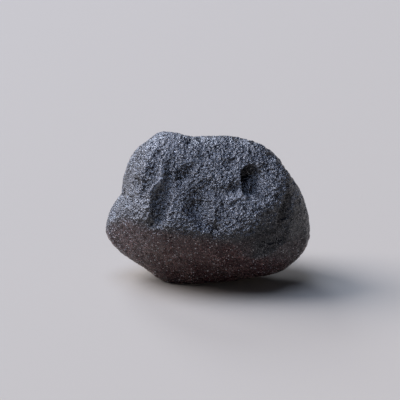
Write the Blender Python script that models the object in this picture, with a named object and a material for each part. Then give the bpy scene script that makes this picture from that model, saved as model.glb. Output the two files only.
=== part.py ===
"""A tektite: one pebble of black natural glass, gouged and pitted, as a single closed solid.

Run it with  blender --background --python part.py  or from Blender's text editor.
Sizes below are in millimetres and angles in degrees. The finished stone is in metres, +Z up,
standing on its small flat spot at Z = 0, with the middle of its box over the origin.
A view is an azimuth and an elevation: azimuth 0 looks at the front (-Y side) and 90 at the
right side (+X).
"""

import math

import bmesh
import bpy
import numpy as np

MM = 0.001
NAME = "tektite"

# The front outline, clockwise from the top left, as (right, up) from the core of the stone.
# It lies in a plane through the core that faces the front view, so its top leans back.
FRONT_VIEW = (0.0, 15.0)
OUTLINE = [
    (-9.4, 15.7), (-6.4, 15.4), (-2.8, 14.5), (4.0, 15.2), (9.0, 14.1), (12.1, 12.0),
    (14.6, 9.7), (18.3, 4.6), (20.3, -2.0), (19.4, -7.1), (15.1, -11.0), (8.4, -13.2),
    (-0.6, -14.4), (-7.6, -14.1), (-12.2, -11.1), (-17.8, -7.5), (-20.3, -4.0), (-19.2, 0.6),
    (-17.4, 3.6), (-16.5, 7.4), (-14.7, 11.7), (-12.2, 14.4),
]
FRONT_DEPTH = 15.4
BACK_DEPTH = 15.0
BODY_ROUNDING = 2.3        # 2 gives an ellipsoid, more a boxier body
CORE = (0.07, 0.0, 13.6)   # from the origin to the core; its height sets the flat spot
SPOT_EDGE = 0.25           # how softly the flat spot's edge turns up

# Worn faces: where each looks, as (right, up, toward the front), and its distance from the core.
WORN_FACES = [
    ((0.05, 0.62, 1.0), 12.9),
    ((0.05, 0.3, 1.0), 13.0),
    ((-0.2, -1.0, 0.8), 13.0),
    ((1.0, -0.35, 0.9), 17.3),
    ((-1.0, 0.35, 0.8), 17.6),
    ((-0.9, -0.7, 0.8), 16.2),
    ((-0.3, 0.55, -1.0), 12.8),
    ((0.25, -0.7, -1.0), 13.1),
    ((1.0, 0.15, -1.0), 17.4),
    ((-1.0, -0.2, -0.9), 18.2),
]
FACE_SHARPNESS = 22.0
FACE_FADE = 0.2            # the faces die out this near to the outline's plane

# Slow swellings of the whole surface, and the wobble that keeps the gouges' edges from being neat.
SWELL_WAVE, SWELL_HEIGHT = 12.0, 0.3
WOBBLE_WAVE, WOBBLE_SHIFT = 6.0, 0.25
WAVES = 14
SEED = 7

# Gouges, grouped by the view that looks straight into them. Each has a lean, which carries its
# floor sideways (right, up) and so makes the wall on that side steep, and a path of
# (right, up, half width, depth) points from the core. A negative depth raises a ridge.
GOUGE_ROUNDING = 1.5       # 1 gives a gouge a hard rim, more a softer one
GOUGES = {
    (0, 15): {
        "long gouge": ((-0.15, 0.1), [
            (-7.6, 8.6, 1.2, 0.4), (-8.0, 5.8, 1.9, 1.3), (-8.8, 2.4, 2.3, 1.8), (-9.8, -0.6, 2.2, 1.8),
            (-10.8, -2.4, 1.6, 0.7)]),
        "side gouge": ((-0.1, 0.1), [
            (-9.9, 11.6, 1.0, 0.2), (-10.1, 9.4, 1.5, 0.6), (-10.9, 7.2, 1.9, 1.2), (-11.8, 5.0, 1.7, 1.1),
            (-12.4, 3.4, 1.2, 0.4)]),
        "upper gouge": ((0.2, -0.2), [
            (-3.4, 8.8, 1.4, 0.3), (-5.0, 6.8, 2.0, 0.8), (-6.3, 4.8, 1.6, 0.5)]),
        "deep pit": ((-0.1, 0.1), [
            (7.9, 4.4, 1.8, 2.7), (8.0, 6.3, 1.8, 3.2), (9.2, 7.4, 1.8, 2.8), (10.3, 6.2, 1.9, 2.3),
            (9.5, 4.6, 1.9, 2.2)]),
        "pit shoulder": ((0.0, 0.0), [
            (9.4, 4.4, 3.8, 0.8), (10.4, 7.2, 3.4, 0.5)]),
        "right trough": ((-0.8, 0.0), [
            (15.2, 2.2, 1.5, 0.7), (14.8, -0.4, 1.9, 1.5), (14.3, -3.6, 1.6, 0.6)]),
        "middle hollow": ((-0.3, 0.1), [
            (-2.8, 3.0, 2.2, 0.6), (-2.0, 0.8, 2.9, 1.3), (-1.2, -1.8, 2.6, 0.9)]),
        "pit ridge": ((0.0, 0.0), [
            (13.2, 9.0, 2.4, -0.5), (14.4, 6.6, 3.0, -1.0), (14.4, 3.8, 2.4, -0.5)]),
        "cross gouge": ((0.0, 0.4), [
            (-0.6, 3.2, 2.0, 0.7), (2.4, 3.6, 2.0, 0.7), (5.4, 3.9, 1.7, 0.6)]),
        "middle ridge": ((0.0, 0.0), [
            (8.6, -0.6, 2.4, -0.4), (6.2, -1.2, 2.4, -0.4), (4.8, -3.6, 2.0, -0.3)]),
        "back crease": ((-0.2, 0.2), [
            (6.2, 15.4, 2.0, 0.9), (8.2, 12.8, 2.1, 1.0), (11.4, 10.4, 1.8, 0.6)]),
        "under hollow": ((0.0, 0.2), [
            (8.6, -6.6, 2.6, 0.8), (11.4, -5.8, 3.2, 1.6), (14.0, -4.8, 2.6, 1.0)]),
        "low hollow": ((0.0, 0.0), [
            (3.6, -8.6, 2.8, 0.6), (4.6, -11.0, 2.4, 0.5)]),
    },
    (-100, 15): {
        "left groove": ((-0.4, 0.2), [
            (-8.4, 6.0, 1.5, 0.4), (-5.4, 4.8, 2.1, 1.1), (-3.2, 1.6, 2.3, 1.3), (-3.4, -2.2, 1.6, 0.4)]),
        "left cup": ((0.2, 0.3), [
            (4.6, -1.6, 2.4, 1.0), (6.0, -3.4, 2.2, 0.9)]),
        "left low hollow": ((0.0, 0.0), [
            (-4.8, -6.0, 3.2, 0.8), (-2.6, -9.6, 2.6, 0.6)]),
        "left high gouge": ((0.3, 0.2), [
            (0.4, 10.6, 1.6, 0.5), (1.8, 8.0, 1.9, 0.8), (3.8, 6.2, 1.4, 0.4)]),
    },
    (105, 10): {
        "right cup": ((0.4, 0.3), [
            (1.8, 4.0, 2.6, 1.4), (3.4, 5.4, 2.5, 1.2)]),
        "right groove": ((0.2, 0.5), [
            (-4.8, 0.6, 1.6, 0.5), (-2.6, -2.4, 2.1, 1.1), (1.2, -4.4, 2.2, 1.1), (4.6, -4.6, 1.5, 0.4)]),
        "right high gouge": ((0.3, 0.0), [
            (-3.6, 8.2, 1.5, 0.5), (-5.0, 5.2, 1.7, 0.7)]),
        "right low hollow": ((0.0, 0.0), [
            (-3.2, -9.0, 2.8, 0.6), (0.6, -9.6, 2.6, 0.5)]),
    },
    (180, 5): {
        "back long gouge": ((0.3, 0.3), [
            (-6.4, 11.2, 1.4, 0.4), (-6.0, 7.6, 2.2, 1.2), (-3.6, 4.2, 2.6, 1.6), (-3.2, 0.0, 2.3, 1.1),
            (-4.6, -3.0, 1.7, 0.4)]),
        "back deep pit": ((0.5, 0.2), [
            (5.2, -1.6, 2.2, 2.0), (6.4, -0.4, 2.2, 2.1)]),
        "back pit shoulder": ((0.0, 0.0), [
            (4.8, -2.2, 4.2, 0.8), (7.8, 0.6, 3.6, 0.5)]),
        "back cross gouge": ((0.2, 0.4), [
            (3.4, 8.6, 1.5, 0.4), (6.8, 7.2, 2.1, 1.1), (10.6, 7.0, 1.8, 0.7)]),
        "back low gouge": ((0.4, 0.2), [
            (-9.2, -5.4, 2.1, 0.9), (-9.8, -8.2, 1.8, 0.7)]),
        "back edge gouge": ((0.0, 0.3), [
            (-13.4, 3.2, 2.0, 0.9), (-11.2, 1.4, 1.8, 0.8)]),
    },
    (0, 90): {
        "top gouge": ((0.0, 0.4), [
            (-7.6, 3.4, 1.6, 0.4), (-3.4, 5.6, 2.2, 1.0), (1.4, 4.6, 2.2, 1.0), (4.6, 2.6, 1.5, 0.3)]),
        "top pit": ((-0.3, 0.2), [
            (9.0, 0.4, 2.0, 1.1), (10.2, 1.4, 1.8, 0.9)]),
    },
    (0, -90): {
        "sole gouge": ((0.0, 0.3), [
            (9.0, 3.4, 1.8, 0.5), (12.4, 1.0, 2.2, 1.0), (12.8, -3.4, 1.9, 0.5)]),
        "sole pit": ((0.0, 0.0), [
            (-11.8, -1.6, 2.0, 0.9), (-12.6, -3.4, 1.8, 0.7)]),
        "sole back gouge": ((0.0, 0.0), [
            (-6.6, -8.8, 1.6, 0.5), (-2.4, -10.0, 2.0, 0.9), (1.8, -9.6, 1.7, 0.5)]),
    },
}

# Round pits: (right, up, half width, depth) in the view that looks straight into them.
PITS = {
    (0, 15): [
        (-13.6, 5.4, 1.5, 0.6), (-14.5, 4.0, 1.2, 0.4), (-15.2, 2.2, 1.5, 0.5), (-13.5, 9.7, 1.5, 0.3),
        (-1.2, 10.6, 1.5, 0.3), (4.3, 9.1, 1.9, 0.6), (5.2, 4.6, 1.4, 0.4), (0.0, 5.0, 1.9, 0.4),
        (2.8, 0.8, 1.7, 0.3), (1.5, -2.8, 1.7, 0.5), (1.5, 10.9, 1.2, 0.2), (-7.6, -8.4, 2.0, 0.3),
        (-16.4, -3.4, 1.8, 0.3), (11.6, -1.6, 1.8, 0.4), (-1.4, -11.2, 2.2, 0.4),
    ],
    (-100, 15): [(-9.6, -0.6, 1.7, 0.7), (9.4, 4.4, 1.5, 0.6), (0.4, -1.2, 1.4, 0.4), (7.0, -4.0, 1.6, 0.5)],
    (105, 10): [(8.8, 0.6, 1.8, 0.8), (-8.4, 2.4, 1.5, 0.4), (-0.6, 9.4, 1.4, 0.5), (6.0, -8.2, 1.6, 0.5)],
    (180, 5): [(12.6, 2.6, 1.8, 0.8), (1.4, 3.6, 1.5, 0.6), (0.6, -7.6, 2.0, 0.7), (-0.4, 10.2, 1.6, 0.6),
               (10.8, -5.6, 1.7, 0.6), (-13.0, -3.2, 1.6, 0.6)],
    (0, 90): [(-11.4, 0.6, 1.7, 0.7), (-1.6, -0.8, 1.4, 0.4), (5.4, 8.6, 1.6, 0.6), (-8.6, 8.2, 1.7, 0.6)],
    (0, -90): [(-6.8, 6.4, 1.7, 0.6), (6.6, -6.2, 1.8, 0.7), (5.2, 8.0, 1.5, 0.5)],
}

GRID = 28                  # squares along each edge of the starting cube
OUTLINE_STEPS, PATH_STEPS = 24, 5   # points between two given ones on a smooth curve
HALVINGS = 24              # enough to place a gouge to far under a micrometre
TINY = 1e-9                # keeps a pit, whose path has no length, from dividing by zero

BLACK_GLASS = (0.022, 0.021, 0.023, 1.0)
ETCHED_ROUGHNESS = 0.55


def direction(azimuth, elevation):
    """Unit vector from the stone towards a viewer at that azimuth and elevation."""
    a, e = math.radians(azimuth), math.radians(elevation)
    return np.array([math.cos(e) * math.sin(a), -math.cos(e) * math.cos(a), math.sin(e)])


def view_axes(azimuth, elevation):
    """Right, up and toward-the-viewer vectors of a view, as the rows of a matrix."""
    toward = direction(azimuth, elevation)
    up = direction(azimuth, elevation + 90.0)
    return np.array([np.cross(up, toward), up, toward])


def smoothstep(low, high, value):
    """0 below low, 1 above high and an S curve between them."""
    t = np.clip((value - low) / (high - low), 0, 1)
    return t * t * (3 - 2 * t)


def smooth_curve(points, closed, steps):
    """Points along a smooth curve through the given ones (Catmull-Rom), closed or open."""
    if closed:
        here = np.array(points, float)
        before, after, later = (np.roll(here, shift, 0) for shift in (1, -1, -2))
    else:
        row = np.array([points[0], *points, points[-1]], float)
        before, here, after, later = row[:-3], row[1:-2], row[2:-1], row[3:]
    before, here, after, later = (side[:, None, :] for side in (before, here, after, later))
    t = (np.arange(steps) / steps)[None, :, None]
    curve = 0.5 * (2 * here + (after - before) * t
                   + (2 * before - 5 * here + 4 * after - later) * t**2
                   + (3 * here - before - 3 * after + later) * t**3)
    curve = curve.reshape(-1, curve.shape[2])
    return curve if closed else np.vstack([curve, points[-1]])


def outline_radius(angle):
    """Distance from the core to the front outline at each polar angle."""
    x, y = smooth_curve(OUTLINE, True, OUTLINE_STEPS).T
    angles = np.arctan2(y, x)
    order = np.argsort(angles)
    return np.interp(angle, angles[order], np.hypot(x, y)[order], period=2 * math.pi)


def body(d):
    """Point of the rounded, worn body along each direction d from the core."""
    front = view_axes(*FRONT_VIEW)
    x, y, toward = front @ d.T
    depth = np.where(toward > 0, FRONT_DEPTH, BACK_DEPTH)
    across = np.hypot(x, y) / outline_radius(np.arctan2(y, x))
    rounded = across**BODY_ROUNDING + (np.abs(toward) / depth)**BODY_ROUNDING
    total = rounded**(FACE_SHARPNESS / BODY_ROUNDING)
    fade = smoothstep(0, FACE_FADE, np.abs(toward))
    for looks, distance in WORN_FACES:
        normal = np.array(looks) @ front / np.linalg.norm(looks)
        total += fade * (np.maximum(d @ normal, 0) / distance)**FACE_SHARPNESS
    return d * (total**(-1 / FACE_SHARPNESS))[:, None]


def waves(points, length, seed, shape=()):
    """Seeded waves of one length in every direction, added up; shape gives each its own vector."""
    chance = np.random.default_rng(seed)
    along = chance.normal(size=(WAVES, 3))
    along *= 2 * math.pi / length / np.linalg.norm(along, axis=1, keepdims=True)
    phase = chance.uniform(0, 2 * math.pi, WAVES)
    height = chance.normal(size=(WAVES, *shape))
    return np.cos(points @ along.T + phase) @ height / math.sqrt(WAVES / 2)


def onto_body(places, view):
    """The points of the body that a view sees at the given (right, up) places, found by halving."""
    axes = view_axes(*view)
    low, high = np.zeros(len(places)), np.full(len(places), 2 * FRONT_DEPTH)
    for _ in range(HALVINGS):
        middle = (low + high) / 2
        guess = np.column_stack([places, middle]) @ axes
        size = np.linalg.norm(guess, axis=1)
        inside = size < np.linalg.norm(body(guess / size[:, None]), axis=1)
        low, high = np.where(inside, middle, low), np.where(inside, high, middle)
    return np.column_stack([places, low]) @ axes


def dent(points, view, lean, path):
    """How far each point moves for one gouge: a bowl that fades out one half width from the path."""
    path = smooth_curve(path, False, PATH_STEPS)
    line = onto_body(path[:, :2], view)
    centre = line.mean(0)
    push = np.array(lean) @ view_axes(*view)[:2] - centre / np.linalg.norm(centre)
    reach = np.linalg.norm(line - centre, axis=1).max() + path[:, 2].max()
    moved = np.zeros_like(points)
    close = np.linalg.norm(points - centre, axis=1) < reach
    near = points[close]
    ratio = np.full(len(near), np.inf)
    depth = np.zeros(len(near))
    for start, end, (width, deep), (next_width, next_deep) in zip(line, line[1:], path[:, 2:], path[1:, 2:]):
        run = end - start
        along = np.clip((near - start) @ run / max(run @ run, TINY), 0, 1)
        away = np.linalg.norm(near - start - along[:, None] * run, axis=1)
        away /= width + along * (next_width - width)
        depth = np.where(away < ratio, deep + along * (next_deep - deep), depth)
        ratio = np.minimum(away, ratio)
    moved[close] = (depth * np.clip(1 - ratio**2, 0, 1)**GOUGE_ROUNDING)[:, None] * push
    return moved


def deepest(moves):
    """The largest of several moves at each point, which leaves a crisp ridge between two gouges."""
    most = np.zeros_like(moves[0])
    for moved in moves:
        larger = np.linalg.norm(moved, axis=1) > np.linalg.norm(most, axis=1)
        most[larger] = moved[larger]
    return most


def stone_surface(d):
    """Point of the finished surface for each direction d from the core."""
    plain = body(d)
    measured = plain + WOBBLE_SHIFT * waves(plain, WOBBLE_WAVE, SEED + 1, (3,))
    moved = deepest([dent(measured, view, lean, path)
                     for view, gouges in GOUGES.items() for lean, path in gouges.values()])
    for view, pits in PITS.items():
        for pit in pits:
            moved += dent(measured, view, (0, 0), [pit, pit])
    swell = SWELL_HEIGHT * waves(plain, SWELL_WAVE, SEED)
    points = plain + d * swell[:, None] + moved + np.array(CORE)
    height = np.clip(points[:, 2], -SPOT_EDGE, SPOT_EDGE)
    points[:, 2] = np.maximum(points[:, 2], (height + SPOT_EDGE)**2 / (4 * SPOT_EDGE))
    return points


def stone_mesh():
    """A cube of GRID x GRID squares a side, blown up into the stone."""
    mesh = bpy.data.meshes.new(NAME)
    bm = bmesh.new()
    bmesh.ops.create_cube(bm, size=2.0)
    bmesh.ops.subdivide_edges(bm, edges=bm.edges[:], cuts=GRID - 1, use_grid_fill=True)
    bm.to_mesh(mesh)
    bm.free()
    corners = np.empty(len(mesh.vertices) * 3)
    mesh.vertices.foreach_get("co", corners)
    cube = np.tan(corners.reshape(-1, 3) * math.pi / 4)
    directions = cube / np.linalg.norm(cube, axis=1, keepdims=True)
    mesh.vertices.foreach_set("co", (stone_surface(directions) * MM).ravel())
    mesh.update()
    return mesh


def stone_material():
    """Black natural glass with an etched, half-matt skin."""
    material = bpy.data.materials.new("etched black natural glass")
    material.use_nodes = True
    shader = material.node_tree.nodes["Principled BSDF"]
    shader.inputs["Base Color"].default_value = BLACK_GLASS
    shader.inputs["Roughness"].default_value = ETCHED_ROUGHNESS
    shader.inputs["Metallic"].default_value = 0.0
    return material


def main():
    for leftover in list(bpy.data.objects):
        bpy.data.objects.remove(leftover)
    collection = bpy.data.collections.new(NAME)
    bpy.context.scene.collection.children.link(collection)
    stone = bpy.data.objects.new(NAME, stone_mesh())
    stone.data.materials.append(stone_material())
    stone.data.shade_smooth()
    collection.objects.link(stone)


main()
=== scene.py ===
import itertools
import math

import bpy
import numpy as np
from mathutils import Matrix, Vector


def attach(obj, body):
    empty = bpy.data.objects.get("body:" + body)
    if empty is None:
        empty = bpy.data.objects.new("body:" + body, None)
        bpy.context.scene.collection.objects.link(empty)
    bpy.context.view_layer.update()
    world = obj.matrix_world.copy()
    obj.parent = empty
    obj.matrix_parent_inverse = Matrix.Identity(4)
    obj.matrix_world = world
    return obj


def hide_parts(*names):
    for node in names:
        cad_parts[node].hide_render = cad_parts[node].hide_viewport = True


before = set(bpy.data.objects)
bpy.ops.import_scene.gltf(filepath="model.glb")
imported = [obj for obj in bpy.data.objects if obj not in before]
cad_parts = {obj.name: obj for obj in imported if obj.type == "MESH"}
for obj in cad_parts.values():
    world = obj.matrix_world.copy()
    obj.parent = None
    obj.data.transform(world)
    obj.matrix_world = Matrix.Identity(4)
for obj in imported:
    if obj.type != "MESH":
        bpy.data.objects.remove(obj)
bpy.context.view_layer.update()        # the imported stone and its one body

# Lengths in the dictionaries are millimetres and angles are degrees, unless a note says otherwise.
# A view is (azimuth, elevation): azimuth 0 looks at the front of the stone, 90 at its right side.
metresPerMm = 0.001


def smoothStep(low, high, value):
    # 0 below low, 1 above high and an S curve between them
    t = np.clip((value - low) / (high - low), 0, 1)
    return t * t * (3 - 2 * t)


def viewAxes(azimuth, elevation):
    # rows are right, up and toward the viewer
    a, e = math.radians(azimuth), math.radians(elevation)
    toward = np.array([math.cos(e) * math.sin(a), -math.cos(e) * math.cos(a), math.sin(e)])
    up = np.array([-math.sin(e) * math.sin(a), math.sin(e) * math.cos(a), math.cos(e)])
    return np.array([np.cross(up, toward), up, toward])


def smoothCurve(points, closed, steps):
    # Catmull-Rom: each stretch is a cubic whose ends lean along the line between the neighbours
    here = np.array(points, float)
    if closed:
        before, after, later = (np.roll(here, shift, 0) for shift in (1, -1, -2))
    else:
        row = np.vstack([here[:1], here, here[-1:]])
        before, here, after, later = row[:-3], row[1:-2], row[2:-1], row[3:]
    before, here, after, later = (side[:, None, :] for side in (before, here, after, later))
    t = (np.arange(steps) / steps)[None, :, None]
    curve = 0.5 * (2 * here + (after - before) * t
                   + (2 * before - 5 * here + 4 * after - later) * t**2
                   + (3 * here - before - 3 * after + later) * t**3)
    curve = curve.reshape(-1, curve.shape[2])
    return curve if closed else np.vstack([curve, points[-1]])


def chanceAt(cells, salt):
    # A repeatable number from 0 to 1 for each whole-numbered place, by mixing the bits of its x, y
    # and z with large odd factors. 4096 keeps the places above zero, and a salt picks the pattern.
    x, y, z = (cells.astype(np.int64) + 4096).T
    mixed = (x * 73856093) ^ (y * 19349663) ^ (z * 83492791) ^ (salt * 40503 + 977)
    mixed = ((mixed ^ (mixed >> 13)) * 1274126177) & 0xffffffff
    mixed = ((mixed ^ (mixed >> 15)) * 2246822519) & 0xffffffff
    return ((mixed ^ (mixed >> 16)) & 0xffffff) / 0x1000000


def softNoise(points, length, salt):
    # chance heights from -1 to 1 at the corners of cubes of that length, blended by the quintic
    # 6 t^5 - 15 t^4 + 10 t^3
    place = points / length
    cell = np.floor(place)
    part = place - cell
    part = part**3 * (part * (part * 6 - 15) + 10)
    total = np.zeros(len(points))
    for corner in itertools.product((0, 1), repeat=3):
        share = np.prod(np.where(corner, part, 1 - part), axis=1)
        total += share * chanceAt(cell + corner, salt)
    return total * 2 - 1


stone = {
    "name": "tektite_stone",
    "squares": 128,             # along each edge of the cube that the stone is blown up from
    "core": (0.07, 0.0, 13.6),  # from the origin; its height sets the flat spot
    "frontView": (0, 15),
    # the front outline, clockwise from the top left, as (right, up) from the core
    "outline": [
        (-9.4, 15.7), (-6.4, 15.4), (-2.8, 14.5), (4.0, 15.2), (9.0, 14.1), (12.1, 12.0),
        (14.6, 9.7), (18.3, 4.6), (20.3, -2.0), (19.4, -7.1), (15.1, -11.0), (8.4, -13.2),
        (-0.6, -14.4), (-7.6, -14.1), (-12.2, -11.1), (-17.8, -7.5), (-20.3, -4.0), (-19.2, 0.6),
        (-17.4, 3.6), (-16.5, 7.4), (-14.7, 11.7), (-12.2, 14.4)],
    "outlineSteps": 24,         # places on the smooth curve for each point of the outline
    "frontDepth": 15.4,         # from the core, square to the plane of the outline
    "backDepth": 15.0,
    "rounding": 2.3,            # 2 gives an ellipsoid, more a boxier body
    "spotEdge": 0.25,           # how softly the flat spot's edge turns up
    # where each worn face looks, as (right, up, toward the front), and its distance from the core
    "wornFaces": [
        ((0.05, 0.62, 1.0), 12.9), ((0.05, 0.3, 1.0), 13.0), ((-0.2, -1.0, 0.8), 13.0),
        ((1.0, -0.35, 0.9), 17.3), ((-1.0, 0.35, 0.8), 17.6), ((-0.9, -0.7, 0.8), 16.2),
        ((-0.3, 0.55, -1.0), 12.8), ((0.25, -0.7, -1.0), 13.1), ((1.0, 0.15, -1.0), 17.4),
        ((-1.0, -0.2, -0.9), 18.2)],
    "faceSharpness": 22.0,      # more gives sharper edges between the worn faces
    "faceFade": 0.2,            # how near the outline the worn faces fade out, which keeps it as given
    "swell": (12.0, 0.3),       # wavelength and height of the slow swellings
    "wobble": (6.0, 0.25),      # wavelength and shift that keep the gouges' edges from being neat
    "waves": 14,                # how many plane waves make up the swellings and the wobble
    "seed": 7,                  # of the swellings; the wobble takes the next one
    "pathSteps": 5,             # places on the smooth curve for each point of a gouge's path
    "hollowPower": 1.5,         # 1 gives a hollow a sharp rim, more a softer one
    "leastRun": 1e-9,           # square mm; stands in for the run of a pit's path, which has no length
    "halvings": 24,             # how often the search for the body's surface halves its range
}

# Gouges by the view that looks straight into them. Each has a lean, which carries its floor
# sideways (right, up) and makes that wall steep, and a path of (right, up, half width, depth).
# A depth below zero raises a ridge.
stone["gouges"] = {
    (0, 15): {
        "long gouge": ((-0.15, 0.1), [
            (-7.6, 8.6, 1.2, 0.4), (-8.0, 5.8, 1.9, 1.3), (-8.8, 2.4, 2.3, 1.8), (-9.8, -0.6, 2.2, 1.8),
            (-10.8, -2.4, 1.6, 0.7)]),
        "side gouge": ((-0.1, 0.1), [
            (-9.9, 11.6, 1.0, 0.2), (-10.1, 9.4, 1.5, 0.6), (-10.9, 7.2, 1.9, 1.2), (-11.8, 5.0, 1.7, 1.1),
            (-12.4, 3.4, 1.2, 0.4)]),
        "upper gouge": ((0.2, -0.2), [
            (-3.4, 8.8, 1.4, 0.3), (-5.0, 6.8, 2.0, 0.8), (-6.3, 4.8, 1.6, 0.5)]),
        "deep pit": ((-0.1, 0.1), [
            (7.9, 4.4, 1.8, 2.7), (8.0, 6.3, 1.8, 3.2), (9.2, 7.4, 1.8, 2.8), (10.3, 6.2, 1.9, 2.3),
            (9.5, 4.6, 1.9, 2.2)]),
        "pit shoulder": ((0.0, 0.0), [
            (9.4, 4.4, 3.8, 0.8), (10.4, 7.2, 3.4, 0.5)]),
        "right trough": ((-0.8, 0.0), [
            (15.2, 2.2, 1.5, 0.7), (14.8, -0.4, 1.9, 1.5), (14.3, -3.6, 1.6, 0.6)]),
        "middle hollow": ((-0.3, 0.1), [
            (-2.8, 3.0, 2.2, 0.6), (-2.0, 0.8, 2.9, 1.3), (-1.2, -1.8, 2.6, 0.9)]),
        "pit ridge": ((0.0, 0.0), [
            (13.2, 9.0, 2.4, -0.5), (14.4, 6.6, 3.0, -1.0), (14.4, 3.8, 2.4, -0.5)]),
        "cross gouge": ((0.0, 0.4), [
            (-0.6, 3.2, 2.0, 0.7), (2.4, 3.6, 2.0, 0.7), (5.4, 3.9, 1.7, 0.6)]),
        "middle ridge": ((0.0, 0.0), [
            (8.6, -0.6, 2.4, -0.4), (6.2, -1.2, 2.4, -0.4), (4.8, -3.6, 2.0, -0.3)]),
        "back crease": ((-0.2, 0.2), [
            (6.2, 15.4, 2.0, 0.9), (8.2, 12.8, 2.1, 1.0), (11.4, 10.4, 1.8, 0.6)]),
        "under hollow": ((0.0, 0.2), [
            (8.6, -6.6, 2.6, 0.8), (11.4, -5.8, 3.2, 1.6), (14.0, -4.8, 2.6, 1.0)]),
        "low hollow": ((0.0, 0.0), [
            (3.6, -8.6, 2.8, 0.6), (4.6, -11.0, 2.4, 0.5)]),
    },
    (-100, 15): {
        "left groove": ((-0.4, 0.2), [
            (-8.4, 6.0, 1.5, 0.4), (-5.4, 4.8, 2.1, 1.1), (-3.2, 1.6, 2.3, 1.3), (-3.4, -2.2, 1.6, 0.4)]),
        "left cup": ((0.2, 0.3), [
            (4.6, -1.6, 2.4, 1.0), (6.0, -3.4, 2.2, 0.9)]),
        "left low hollow": ((0.0, 0.0), [
            (-4.8, -6.0, 3.2, 0.8), (-2.6, -9.6, 2.6, 0.6)]),
        "left high gouge": ((0.3, 0.2), [
            (0.4, 10.6, 1.6, 0.5), (1.8, 8.0, 1.9, 0.8), (3.8, 6.2, 1.4, 0.4)]),
    },
    (105, 10): {
        "right cup": ((0.4, 0.3), [
            (1.8, 4.0, 2.6, 1.4), (3.4, 5.4, 2.5, 1.2)]),
        "right groove": ((0.2, 0.5), [
            (-4.8, 0.6, 1.6, 0.5), (-2.6, -2.4, 2.1, 1.1), (1.2, -4.4, 2.2, 1.1), (4.6, -4.6, 1.5, 0.4)]),
        "right high gouge": ((0.3, 0.0), [
            (-3.6, 8.2, 1.5, 0.5), (-5.0, 5.2, 1.7, 0.7)]),
        "right low hollow": ((0.0, 0.0), [
            (-3.2, -9.0, 2.8, 0.6), (0.6, -9.6, 2.6, 0.5)]),
    },
    (180, 5): {
        "back long gouge": ((0.3, 0.3), [
            (-6.4, 11.2, 1.4, 0.4), (-6.0, 7.6, 2.2, 1.2), (-3.6, 4.2, 2.6, 1.6), (-3.2, 0.0, 2.3, 1.1),
            (-4.6, -3.0, 1.7, 0.4)]),
        "back deep pit": ((0.5, 0.2), [
            (5.2, -1.6, 2.2, 2.0), (6.4, -0.4, 2.2, 2.1)]),
        "back pit shoulder": ((0.0, 0.0), [
            (4.8, -2.2, 4.2, 0.8), (7.8, 0.6, 3.6, 0.5)]),
        "back cross gouge": ((0.2, 0.4), [
            (3.4, 8.6, 1.5, 0.4), (6.8, 7.2, 2.1, 1.1), (10.6, 7.0, 1.8, 0.7)]),
        "back low gouge": ((0.4, 0.2), [
            (-9.2, -5.4, 2.1, 0.9), (-9.8, -8.2, 1.8, 0.7)]),
        "back edge gouge": ((0.0, 0.3), [
            (-13.4, 3.2, 2.0, 0.9), (-11.2, 1.4, 1.8, 0.8)]),
    },
    (0, 90): {
        "top gouge": ((0.0, 0.4), [
            (-7.6, 3.4, 1.6, 0.4), (-3.4, 5.6, 2.2, 1.0), (1.4, 4.6, 2.2, 1.0), (4.6, 2.6, 1.5, 0.3)]),
        "top pit": ((-0.3, 0.2), [
            (9.0, 0.4, 2.0, 1.1), (10.2, 1.4, 1.8, 0.9)]),
    },
    (0, -90): {
        "sole gouge": ((0.0, 0.3), [
            (9.0, 3.4, 1.8, 0.5), (12.4, 1.0, 2.2, 1.0), (12.8, -3.4, 1.9, 0.5)]),
        "sole pit": ((0.0, 0.0), [
            (-11.8, -1.6, 2.0, 0.9), (-12.6, -3.4, 1.8, 0.7)]),
        "sole back gouge": ((0.0, 0.0), [
            (-6.6, -8.8, 1.6, 0.5), (-2.4, -10.0, 2.0, 0.9), (1.8, -9.6, 1.7, 0.5)]),
    },
}

# Round pits by view: (right, up, half width, depth). They are sunk on top of the gouges.
stone["pits"] = {
    (0, 15): [
        (-13.6, 5.4, 1.5, 0.6), (-14.5, 4.0, 1.2, 0.4), (-15.2, 2.2, 1.5, 0.5), (-13.5, 9.7, 1.5, 0.3),
        (-1.2, 10.6, 1.5, 0.3), (4.3, 9.1, 1.9, 0.6), (5.2, 4.6, 1.4, 0.4), (0.0, 5.0, 1.9, 0.4),
        (2.8, 0.8, 1.7, 0.3), (1.5, -2.8, 1.7, 0.5), (1.5, 10.9, 1.2, 0.2), (-7.6, -8.4, 2.0, 0.3),
        (-16.4, -3.4, 1.8, 0.3), (11.6, -1.6, 1.8, 0.4), (-1.4, -11.2, 2.2, 0.4)],
    (-100, 15): [
        (-9.6, -0.6, 1.7, 0.7), (9.4, 4.4, 1.5, 0.6), (0.4, -1.2, 1.4, 0.4), (7.0, -4.0, 1.6, 0.5)],
    (105, 10): [
        (8.8, 0.6, 1.8, 0.8), (-8.4, 2.4, 1.5, 0.4), (-0.6, 9.4, 1.4, 0.5), (6.0, -8.2, 1.6, 0.5)],
    (180, 5): [
        (12.6, 2.6, 1.8, 0.8), (1.4, 3.6, 1.5, 0.6), (0.6, -7.6, 2.0, 0.7), (-0.4, 10.2, 1.6, 0.6),
        (10.8, -5.6, 1.7, 0.6), (-13.0, -3.2, 1.6, 0.6)],
    (0, 90): [
        (-11.4, 0.6, 1.7, 0.7), (-1.6, -0.8, 1.4, 0.4), (5.4, 8.6, 1.6, 0.6), (-8.6, 8.2, 1.7, 0.6)],
    (0, -90): [(-6.8, 6.4, 1.7, 0.6), (6.6, -6.2, 1.8, 0.7), (5.2, 8.0, 1.5, 0.5)],
}


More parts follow.
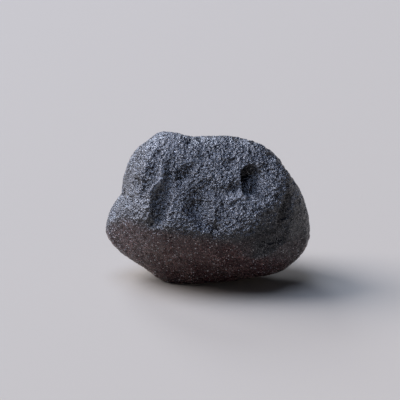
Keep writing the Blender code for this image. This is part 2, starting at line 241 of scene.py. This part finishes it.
def cubeGrid(squares):
    # Six square grids on the whole-numbered places of a cube. Places on shared edges are
    # the same vertex, so the surface is closed. Faces run anticlockwise seen from outside.
    a, b = (side.ravel() for side in np.meshgrid(np.arange(squares), np.arange(squares), indexing="ij"))
    corners = np.stack([np.stack([a + da, b + db], 1) for da, db in ((0, 0), (1, 0), (1, 1), (0, 1))], 1)
    sides = []
    for axis, end in itertools.product(range(3), (0, squares)):
        side = np.insert(corners, axis, end, axis=2)
        outward = (end > 0) == (axis != 1)
        sides.append(side if outward else side[:, ::-1])
    places, faces = np.unique(np.concatenate(sides).reshape(-1, 3), axis=0, return_inverse=True)
    return places / squares * 2 - 1, faces.reshape(-1, 4)


def outlineRadius(angle):
    # distance from the core to the front outline at each polar angle, read off the smooth curve
    x, y = smoothCurve(stone["outline"], True, stone["outlineSteps"]).T
    angles = np.arctan2(y, x)
    order = np.argsort(angles)
    return np.interp(angle, angles[order], np.hypot(x, y)[order], period=2 * math.pi)


def body(d):
    # Along each direction d: a super-ellipsoid, (across / outline)^n + (toward / depth)^n = 1,
    # and each worn face (d . normal / distance), all joined by a high power, which rounds the edges.
    front = viewAxes(*stone["frontView"])
    power, sharpness = stone["rounding"], stone["faceSharpness"]
    x, y, toward = front @ d.T
    depth = np.where(toward > 0, stone["frontDepth"], stone["backDepth"])
    across = np.hypot(x, y) / outlineRadius(np.arctan2(y, x))
    total = (across**power + (np.abs(toward) / depth)**power)**(sharpness / power)
    fade = smoothStep(0, stone["faceFade"], np.abs(toward))
    for looks, distance in stone["wornFaces"]:
        normal = np.array(looks) @ front / np.linalg.norm(looks)
        total += fade * (np.maximum(d @ normal, 0) / distance)**sharpness
    return d * (total**(-1 / sharpness))[:, None]


def waves(points, length, seed, shape=()):
    # sum of height cos(k . p + phase) over plane waves of one length in seeded directions, scaled so
    # that its usual size is 1; shape gives each wave a vector for its height
    chance = np.random.default_rng(seed)
    along = chance.normal(size=(stone["waves"], 3))
    along *= 2 * math.pi / length / np.linalg.norm(along, axis=1, keepdims=True)
    phase = chance.uniform(0, 2 * math.pi, stone["waves"])
    height = chance.normal(size=(stone["waves"], *shape))
    return np.cos(points @ along.T + phase) @ height / math.sqrt(stone["waves"] / 2)


def ontoBody(places, view):
    # the points of the body that a view sees at (right, up) places: the range toward the viewer is
    # halved again and again, and the half that holds the surface is kept
    axes = viewAxes(*view)
    low, high = np.zeros(len(places)), np.full(len(places), 2 * stone["frontDepth"])
    for _ in range(stone["halvings"]):
        middle = (low + high) / 2
        guess = np.column_stack([places, middle]) @ axes
        size = np.linalg.norm(guess, axis=1)
        inside = size < np.linalg.norm(body(guess / size[:, None]), axis=1)
        low, high = np.where(inside, middle, low), np.where(inside, high, middle)
    return np.column_stack([places, low]) @ axes


def hollow(points, view, path):
    # drop = depth (1 - r^2)^power, where r is the distance to the path over the half width there;
    # also the middle of the path, on the body
    path = smoothCurve(path, False, stone["pathSteps"])
    line = ontoBody(path[:, :2], view)
    centre = line.mean(0)
    reach = np.linalg.norm(line - centre, axis=1).max() + path[:, 2].max()
    drop = np.zeros(len(points))
    close = np.linalg.norm(points - centre, axis=1) < reach
    near = points[close]
    ratio = np.full(len(near), np.inf)
    depth = np.zeros(len(near))
    stretches = zip(line, line[1:], path[:, 2:], path[1:, 2:])
    for start, end, (width, deep), (nextWidth, nextDeep) in stretches:
        run = end - start
        along = np.clip((near - start) @ run / max(run @ run, stone["leastRun"]), 0, 1)
        away = np.linalg.norm(near - start - along[:, None] * run, axis=1)
        away /= width + along * (nextWidth - width)
        depth = np.where(away < ratio, deep + along * (nextDeep - deep), depth)
        ratio = np.minimum(away, ratio)
    drop[close] = depth * np.clip(1 - ratio**2, 0, 1)**stone["hollowPower"]
    return drop, centre


def dent(points, view, lean, path):
    # move = drop (lean - centre / |centre|): the hollow moves each point toward the core, and
    # sideways as its lean tells
    drop, centre = hollow(points, view, path)
    push = np.array(lean) @ viewAxes(*view)[:2] - centre / np.linalg.norm(centre)
    return drop[:, None] * push


def gougedSurface(d):
    # Body + swellings + gouges + pits, and how far the last two move each point. Where gouges meet,
    # the one that moves the point furthest wins, so that the ridges between them stay crisp. Their
    # distances are measured from places shifted by the wobble.
    plain = body(d)
    length, shift = stone["wobble"]
    measured = plain + shift * waves(plain, length, stone["seed"] + 1, (3,))
    length, height = stone["swell"]
    swollen = plain + d * (height * waves(plain, length, stone["seed"]))[:, None]
    gouged = np.zeros_like(plain)
    for view, group in stone["gouges"].items():
        for lean, path in group.values():
            moved = dent(measured, view, lean, path)
            deeper = np.linalg.norm(moved, axis=1) > np.linalg.norm(gouged, axis=1)
            gouged[deeper] = moved[deeper]
    for view, group in stone["pits"].items():
        for pit in group:
            gouged += dent(measured, view, (0, 0), [pit, pit])
    return swollen + gouged, np.linalg.norm(gouged, axis=1)


# Patches of the surface by view: (right, up, half width, how much more scuffed than the rest).
# Below zero, a patch is cleaner than the rest. They are partly scuffing and partly painted light:
# those along the top rim and at the top left are painted glints and sheen, and the cleaner ones in
# the middle and low on the right are painted shade.
stone["scuffs"] = {
    (0, 15): [
        (-9.4, 13.0, 4.2, 0.5), (-6.6, 15.2, 3.0, 0.5), (-5.4, 10.6, 3.6, 0.3), (-9.0, 5.4, 2.6, 0.4),
        (1.8, 14.0, 2.4, 0.5), (1.4, 11.0, 1.1, 1.2), (4.4, 2.2, 3.2, 0.3), (10.8, 5.0, 3.0, 0.4),
        (1.0, 0.6, 3.4, -0.35), (1.2, -3.6, 3.4, -0.4), (-6.0, -4.4, 3.6, -0.2), (10.8, -5.0, 4.6, -0.6)],
}

# Thin scuffed lines along edges, by view: paths of (right, up, half width, how much more scuffed).
# They are partly painted highlights, along the ridge between the side and long gouges, the right rim
# of the long gouge and the deep pit's rim, where the light catches.
stone["scuffedEdges"] = {
    (0, 15): [
        [(-8.6, 9.4, 0.6, 0.6), (-9.1, 6.8, 0.8, 1.8), (-9.8, 4.2, 0.7, 1.4), (-11.0, 1.8, 0.6, 0.5)],
        [(-7.2, 3.4, 0.6, 0.8), (-7.6, 1.2, 0.7, 2.0), (-8.3, -1.0, 0.7, 2.0), (-9.4, -2.8, 0.6, 0.8)],
        [(6.2, 7.4, 0.6, 0.7), (5.8, 5.6, 0.6, 1.5), (6.1, 3.4, 0.7, 1.5), (7.8, 2.0, 0.7, 1.2),
         (9.8, 2.4, 0.7, 0.8)]],
}

# The etched skin: small pits scattered by chance, flow lines and grain, and what is laid on them:
# scuffing, partly painted light, and the painted underside, a painted warm reflection with shade. A
# salt picks one chance pattern. Each kind of scattered pit uses five salts, from its own on.
stone["skin"] = {
    # spacing, smallest and largest half width, depth, share of the places that have a pit, salt
    "scatter": [
        (3.4, 0.8, 1.4, 0.30, 0.5, 20),
        (1.9, 0.45, 0.8, 0.20, 0.7, 30),
        (1.05, 0.25, 0.5, 0.22, 0.9, 40)],
    "bend": (1.6, 0.35, 50),    # wavelength, shift and salt of what keeps these pits from being round
    "grain": [(2.4, 0.07, 10), (1.1, 0.05, 11), (0.55, 0.11, 12)],     # wavelength, height, salt
    "striae": (0.8, 5.0, 0.10, 61),     # wavelength across, stretch along, height, salt
    "striaeAlong": (0.87, 0.0, 0.5),    # the way of the glass's flow lines, etched into grooves
    "patches": (7.0, 60),       # wavelength and salt of the patches in which the flow lines show
    "patchFrom": (-0.1, 0.5),   # values of that noise between which a patch comes in
    "calm": 0.6,                # how much of the skin the deep floors lack
    "calmFrom": (0.8, 2.4),     # depths between which they lose it
    "shelter": 0.6,             # how much less scuffed the deep floors are
    "shelterFrom": (1.2, 3.0),  # depths between which this comes in
    "crestFrom": (-0.25, 0.10),         # heights of the skin between which scuffing comes in
    "wear": 0.5,                # extra scuffing along sharp ridges
    "wearFrom": (0.012, 0.05),  # how far a ridge stands out in one mesh step
    "undersideSlope": (-0.2, 0.5),   # how far down a face looks where the painted underside starts, and where it is full
    "undersideRagged": (1.8, 0.12, 70),      # wavelength, amount and salt of the painted underside's uneven edge
    "undersideUp": (0.15, 0.0, 1.0),         # the way up along which the painted underside's height is measured
    "undersideHeight": (-3.4, 0.6),  # heights from the core between which the painted underside thins out
}


def outwardNormals(points, faces):
    # each vertex's sum of (c - a) x (e - b), the crossed diagonals of its faces, made one long
    a, b, c, e = (points[faces[:, corner]] for corner in range(4))
    across = np.cross(c - a, e - b)
    normals = np.zeros_like(points)
    for corner in range(4):
        np.add.at(normals, faces[:, corner], across)
    return normals / np.linalg.norm(normals, axis=1, keepdims=True)


def bulges(points, normals, faces):
    # (p - m) . n: how far each vertex stands out along its normal from the middle of its neighbours
    middle = np.zeros_like(points)
    count = np.zeros((len(points), 1))
    for corner in range(4):
        np.add.at(middle, faces[:, corner], points[faces[:, (corner + 1) % 4]])
        np.add.at(count, faces[:, corner], 1)
    return ((points - middle / count) * normals).sum(1)


def scatteredPits(points, spacing, smallest, largest, depth, share, salt):
    # One possible pit in each cube of that spacing, at a chance place and of a chance half width:
    # drop = depth (width / largest) (1 - r^2)^2, and where pits meet, the deepest wins.
    place = points / spacing
    home = np.floor(place)
    drop = np.zeros(len(points))
    for step in itertools.product((-1, 0, 1), repeat=3):
        cell = home + step
        centre = cell + np.stack([chanceAt(cell, salt + axis) for axis in range(3)], 1)
        width = smallest + (largest - smallest) * chanceAt(cell, salt + 3)
        ratio = np.linalg.norm(place - centre, axis=1) * spacing / width
        onePit = depth * (width / largest) * np.clip(1 - ratio**2, 0, 1)**2
        drop = np.maximum(drop, onePit * (chanceAt(cell, salt + 4) < share))
    return drop


def etchedSkin(points):
    # height = flow lines in patches + grain - small pits
    skin = stone["skin"]
    across, stretch, amount, salt = skin["striae"]
    along = np.array(skin["striaeAlong"]) / np.linalg.norm(skin["striaeAlong"])
    squeezed = points - (1 - 1 / stretch) * (points @ along)[:, None] * along
    patches = smoothStep(*skin["patchFrom"], softNoise(points, *skin["patches"]))
    height = amount * patches * softNoise(squeezed, across, salt)
    for length, amount, salt in skin["grain"]:
        height += amount * softNoise(points, length, salt)
    length, shift, salt = skin["bend"]
    bent = points + shift * np.stack([softNoise(points, length, salt + axis) for axis in range(3)], 1)
    for sizes in skin["scatter"]:
        height -= scatteredPits(bent, *sizes)
    return height


def paintedUndersideCover(points, normals):
    # painted warm reflection and shade below: (how far down the face looks, made ragged) x (how low it
    # lies), each an S curve from 0 to 1
    skin = stone["skin"]
    length, amount, salt = skin["undersideRagged"]
    ragged = amount * softNoise(points, length, salt)
    cover = smoothStep(*skin["undersideSlope"], ragged - normals[:, 2])
    return cover * (1 - smoothStep(*skin["undersideHeight"], points @ np.array(skin["undersideUp"])))


def scuffingAndPaintedLight(points, normals, faces, sunk, height):
    # The patches and edges add painted glints, sheen, highlights and shade as well as scuffing.
    # patches and edges listed one by one + high skin + sharp ridges - deep floors
    skin = stone["skin"]
    total = -skin["shelter"] * smoothStep(*skin["shelterFrom"], sunk)
    for view, group in stone["scuffs"].items():
        for spot in group:
            total += hollow(points, view, [spot, spot])[0]
    for view, group in stone["scuffedEdges"].items():
        for path in group:
            total += hollow(points, view, path)[0]
    total += smoothStep(*skin["crestFrom"], height)
    total += skin["wear"] * smoothStep(*skin["wearFrom"], bulges(points, normals, faces))
    return total


def flatSpot(height):
    # A soft maximum of z and 0: (z + e)^2 / 4e while z is between -e and e, 0 below and z above.
    edge = stone["spotEdge"]
    return np.maximum(height, (np.clip(height, -edge, edge) + edge)**2 / (4 * edge))


def makeStone():
    # On each side of a cube, each direction d = (1, tan a, tan b), with a and b in even steps, gets
    # its point of the gouged surface, which then moves along its normal by the height of the skin.
    skin = stone["skin"]
    places, faces = cubeGrid(stone["squares"])
    cube = np.tan(places * math.pi / 4)
    d = cube / np.linalg.norm(cube, axis=1, keepdims=True)
    points, sunk = gougedSurface(d)
    normals = outwardNormals(points, faces)
    print("stone: gouges and pits done")
    height = etchedSkin(points) * (1 - skin["calm"] * smoothStep(*skin["calmFrom"], sunk))
    # painted underside: where a painted warm reflection with shade goes
    paintedUnderside = paintedUndersideCover(points, normals)
    # scuffing together with painted glints, highlights and shade
    scuffAndLightMask = scuffingAndPaintedLight(points, normals, faces, sunk, height)
    # the soil named in this print is the painted underside, a painted warm reflection with shade
    print("stone: skin, soil and scuffs done")
    points += normals * height[:, None]
    points += np.array(stone["core"])
    points[:, 2] = flatSpot(points[:, 2])
    mesh = bpy.data.meshes.new(stone["name"])
    mesh.from_pydata(points * metresPerMm, [], faces)
    for name, values in (("scuffAndLightMask", scuffAndLightMask), ("paintedUnderside", paintedUnderside)):
        layer = mesh.attributes.new(name, "FLOAT", "POINT")
        layer.data.foreach_set("value", values.astype(np.float32))
    mesh.shade_smooth()
    mesh.update()
    piece = bpy.data.objects.new(stone["name"], mesh)
    bpy.context.scene.collection.objects.link(piece)
    print("stone: mesh done,", len(faces) * 2, "triangles")
    return piece


def linear(hexColour):
    # sRGB hex to the linear colour that shaders take
    parts = [int(hexColour[i:i + 2], 16) / 255 for i in (1, 3, 5)]
    return (*((c / 12.92 if c <= 0.04045 else ((c + 0.055) / 1.055)**2.4) for c in parts), 1.0)


def addNode(tree, kind, settings=None, **inputs):
    # Adds a node, sets its properties, and sets its inputs, or links one that is given a socket.
    # _0 is the input numbered 0, and any other _ in a name stands for a space.
    node = tree.nodes.new(kind)
    for name, value in (settings or {}).items():
        setattr(node, name, value)
    for name, value in inputs.items():
        socket = node.inputs[int(name[1:])] if name[1:].isdigit() else node.inputs[name.replace("_", " ")]
        if isinstance(value, bpy.types.NodeSocket):
            tree.links.new(value, socket)
        else:
            socket.default_value = value
    return node


def perMetre(millimetres):
    # a texture's Scale for a pattern of that size, on coordinates in metres
    return 1 / (millimetres * metresPerMm)


glass = {
    "body": "#0e0f15",          # black with a trace of blue; the brown of the glass is too dark to show
    "paintedUnderside": "#36191b",          # painted warm reflection low on the downward faces: dark reddish brown in place of the black body
    "frost": ("#a4857f", "#7e7d7d"),    # scuffed cusps of the skin: the first, warmer and paler, is painted reflection on the painted underside; the second is elsewhere
    "speck": "#d6d6da",         # chipped points, which show white; partly painted glints of facets too small to model
    "ior": 1.49,                # tektite glass
    "specular": 0.8,            # over the usual 0.5, for the glints of facets too small to model
    "roughness": (0.22, 0.45),  # bare glass and frost
    # The grain, chips and pinholes are drawn coarser than the real ones, so that they show.
    "grainMm": 0.22,            # from cusp to cusp
    "grainBump": 0.38,          # from the deepest dip to the highest cusp
    "pinholeMm": 0.6,           # from pinhole to pinhole
    "pinholeBump": 0.30,        # how far a pinhole's cone drops over that distance
    "speckMm": 0.4,             # from chip to chip
    # a chip's radius as a share of that distance: luck from 0 to 1 times the first, plus the second,
    # and below zero there is no chip
    "speckSize": (0.90, -0.66),
    "undersideSpecks": 0.10,         # how much larger the chips are on the painted underside, as such a share: painted glints there
    "cloudMm": 5,               # patches that are a little more or less frosted
    # the grain, plus shares of scuffing with painted light, cloud and glass off the painted underside,
    # makes frost
    "scuffAndLightShare": 0.12,
    "cloudShare": 0.14,
    "awayFromUndersideShare": 0.03,
    "frostFrom": (0.775, 0.838),        # values of that sum between which the frost comes in
}


def etchedBlackGlass():
    # Etched natural glass: black in the body, with a skin of countless tiny cusps and pinholes.
    # The cusps are scuffed pale, so the stone looks sparkly grey where light rakes it. Part of its
    # colour is painted light: glints, sheen and shade patched onto the front, and a warm reflection
    # with shade below.
    material = bpy.data.materials.new("etchedBlackNaturalGlass")
    material.use_nodes = True
    tree = material.node_tree
    tree.nodes.clear()
    where = addNode(tree, "ShaderNodeTexCoord").outputs["Object"]
    # scuffing together with painted glints, highlights and shade, read from the mesh
    scuffAndLightMask = addNode(tree, "ShaderNodeAttribute", {"attribute_name": "scuffAndLightMask"}).outputs["Fac"]
    # the painted underside: a painted warm reflection with shade
    paintedUnderside = addNode(tree, "ShaderNodeAttribute", {"attribute_name": "paintedUnderside"}).outputs["Fac"]
    awayFromUnderside = addNode(tree, "ShaderNodeMath", {"operation": "SUBTRACT"}, _0=1.0, _1=paintedUnderside).outputs[0]
    cloud = addNode(tree, "ShaderNodeTexNoise", Vector=where, Scale=perMetre(glass["cloudMm"]),
                    Detail=3.0).outputs["Fac"]
    grain = addNode(tree, "ShaderNodeTexNoise", Vector=where, Scale=perMetre(glass["grainMm"]),
                    Detail=1.0, Roughness=0.5).outputs["Fac"]
    chipsAndGlints = addNode(tree, "ShaderNodeTexVoronoi", Vector=where, Scale=perMetre(glass["speckMm"]))
    pinholes = addNode(tree, "ShaderNodeTexVoronoi", Vector=where,
                       Scale=perMetre(glass["pinholeMm"])).outputs["Distance"]

    wearAndPaintedLight = grain          # frost: grain + scuffing with painted light + cloud + glass off the painted underside, each by its share
    for part, share in ((scuffAndLightMask, "scuffAndLightShare"), (cloud, "cloudShare"), (awayFromUnderside, "awayFromUndersideShare")):
        wearAndPaintedLight = addNode(tree, "ShaderNodeMath", {"operation": "MULTIPLY_ADD"}, _0=part,
                       _1=glass[share], _2=wearAndPaintedLight).outputs[0]
    frosted = addNode(tree, "ShaderNodeMapRange", Value=wearAndPaintedLight, From_Min=glass["frostFrom"][0],
                      From_Max=glass["frostFrom"][1]).outputs[0]

    luck = addNode(tree, "ShaderNodeSeparateColor", _0=chipsAndGlints.outputs["Color"]).outputs[0]
    size = addNode(tree, "ShaderNodeMath", {"operation": "MULTIPLY_ADD"}, _0=luck,
                   _1=glass["speckSize"][0], _2=glass["speckSize"][1]).outputs[0]
    # on the painted underside the specks grow, as painted glints
    size = addNode(tree, "ShaderNodeMath", {"operation": "MULTIPLY_ADD"}, _0=paintedUnderside,
                   _1=glass["undersideSpecks"], _2=size).outputs[0]
    speck = addNode(tree, "ShaderNodeMath", {"operation": "LESS_THAN"},
                    _0=chipsAndGlints.outputs["Distance"], _1=size).outputs[0]

    # on the painted underside, the body and the frost take the painted warm reflection colours
    dark = addNode(tree, "ShaderNodeMix", {"data_type": "RGBA"}, _0=awayFromUnderside,
                   _6=linear(glass["paintedUnderside"]), _7=linear(glass["body"]))
    pale = addNode(tree, "ShaderNodeMix", {"data_type": "RGBA"}, _0=awayFromUnderside,
                   _6=linear(glass["frost"][0]), _7=linear(glass["frost"][1]))
    colour = addNode(tree, "ShaderNodeMix", {"data_type": "RGBA"}, _0=frosted,
                     _6=dark.outputs[2], _7=pale.outputs[2])
    # white specks: chips, and partly painted glints
    colour = addNode(tree, "ShaderNodeMix", {"data_type": "RGBA"}, _0=speck,
                     _6=colour.outputs[2], _7=linear(glass["speck"]))
    rough = addNode(tree, "ShaderNodeMapRange", Value=frosted,
                    To_Min=glass["roughness"][0], To_Max=glass["roughness"][1])
    bumps = addNode(tree, "ShaderNodeBump", Height=grain, Strength=1.0,
                    Distance=glass["grainBump"] * metresPerMm)
    bumps = addNode(tree, "ShaderNodeBump", Height=pinholes, Strength=1.0,
                    Distance=glass["pinholeBump"] * metresPerMm, Normal=bumps.outputs["Normal"])
    shader = addNode(tree, "ShaderNodeBsdfPrincipled", Base_Color=colour.outputs[2],
                     Roughness=rough.outputs[0], IOR=glass["ior"],
                     Specular_IOR_Level=glass["specular"], Normal=bumps.outputs["Normal"])
    addNode(tree, "ShaderNodeOutputMaterial", Surface=shader.outputs[0])
    print("glass done")
    return material


stage = {
    "floorColour": "#978d7e",   # warm, because the lights are cool: it renders pale grey
    "floorRoughness": 0.9,
    # (radius, height) from the middle out: flat, then curved up so that no view sees an edge
    "floorProfile": [(0, 0), (900, 0), (1060, 14), (1200, 55), (1310, 120), (1380, 205), (1400, 300)],
    "floorSides": 96,
    "world": "#93ace0",         # a dim bluish room all around
    "worldStrength": 0.08,
    # each soft light by the view it shines from, how wide it looks, watts per square metre, colour
    "lights": {
        "leftSoftbox": ((-110, 37), 46, 6.0, "#ebeeff"),
        "topSoftbox": ((-100, 72), 50, 3.4, "#bfd4ff"),
        "backSoftbox": ((-160, 30), 20, 1.4, "#dce8ff"),
    },
}

camera = {
    "view": (0, 15),
    "distance": 300,
    "imagePixels": 400,
    "mmPerPixel": 0.2,          # at the stone's core
    "corePixel": (208, 211),    # where the stone's core falls in the image
    "nearest": 10,              # what is nearer to the camera is left out
}


def makeFloor():
    # the profile turned round the vertical axis: (radius cos a, radius sin a, height)
    radius, height = np.array(stage["floorProfile"], float).T
    sides = stage["floorSides"]
    turn = np.arange(sides) * 2 * math.pi / sides
    rings = np.stack([np.outer(radius, np.cos(turn)), np.outer(radius, np.sin(turn)),
                      np.outer(height, np.ones(sides))], 2)[1:].reshape(-1, 3)
    points = np.vstack([[0, 0, 0], rings])
    here = np.arange(sides) + 1
    after = here % sides + 1
    fan = np.column_stack([np.zeros(sides, int), here, after])
    band = np.column_stack([here, here + sides, after + sides, after])
    bands = np.concatenate([band + ring * sides for ring in range(len(radius) - 2)])
    mesh = bpy.data.meshes.new("floor")
    mesh.from_pydata(points * metresPerMm, [], fan.tolist() + bands.tolist())
    mesh.shade_smooth()
    floor = bpy.data.objects.new("floor", mesh)
    bpy.context.scene.collection.objects.link(floor)
    material = bpy.data.materials.new("paleMattPaper")
    material.use_nodes = True
    shader = material.node_tree.nodes["Principled BSDF"]
    shader.inputs["Base Color"].default_value = linear(stage["floorColour"])
    shader.inputs["Roughness"].default_value = stage["floorRoughness"]
    mesh.materials.append(material)


def makeLights():
    # each light is a sun that shines back along its view, as wide as it is told
    world = bpy.data.worlds.new("softRoom")
    world.use_nodes = True
    background = world.node_tree.nodes["Background"]
    background.inputs["Color"].default_value = linear(stage["world"])
    background.inputs["Strength"].default_value = stage["worldStrength"]
    bpy.context.scene.world = world
    for name, (view, width, strength, colour) in stage["lights"].items():
        light = bpy.data.lights.new(name, "SUN")
        light.angle = math.radians(width)
        light.energy = strength
        light.color = linear(colour)[:3]
        lamp = bpy.data.objects.new(name, light)
        axes = viewAxes(*view)
        lamp.location = Vector(axes[2])      # only to tell them apart: a sun has no place
        lamp.rotation_euler = Matrix(axes).transposed().to_euler()
        bpy.context.scene.collection.objects.link(lamp)


def makeCamera():
    # lens / sensor = distance / width seen, aimed so that the core falls on its pixel
    right, up, toward = viewAxes(*camera["view"])
    middle = camera["imagePixels"] / 2
    shiftRight = (middle - camera["corePixel"][0]) * camera["mmPerPixel"]
    shiftUp = (camera["corePixel"][1] - middle) * camera["mmPerPixel"]
    target = np.array(stone["core"]) + right * shiftRight + up * shiftUp
    lens = bpy.data.cameras.new("camera")
    lens.lens = lens.sensor_width * camera["distance"] / (camera["imagePixels"] * camera["mmPerPixel"])
    lens.clip_start = camera["nearest"] * metresPerMm
    eye = bpy.data.objects.new("camera", lens)
    eye.location = Vector(target + toward * camera["distance"]) * metresPerMm
    eye.rotation_euler = Matrix((right, up, toward)).transposed().to_euler()
    bpy.context.scene.collection.objects.link(eye)
    bpy.context.scene.camera = eye


piece = makeStone()
piece.data.materials.append(etchedBlackGlass())
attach(piece, "root")
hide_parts("tektite")
makeFloor()
makeLights()
makeCamera()
bpy.context.scene.view_settings.view_transform = "Standard"      # shows the colours as they are given
print("stage, lights and camera done")
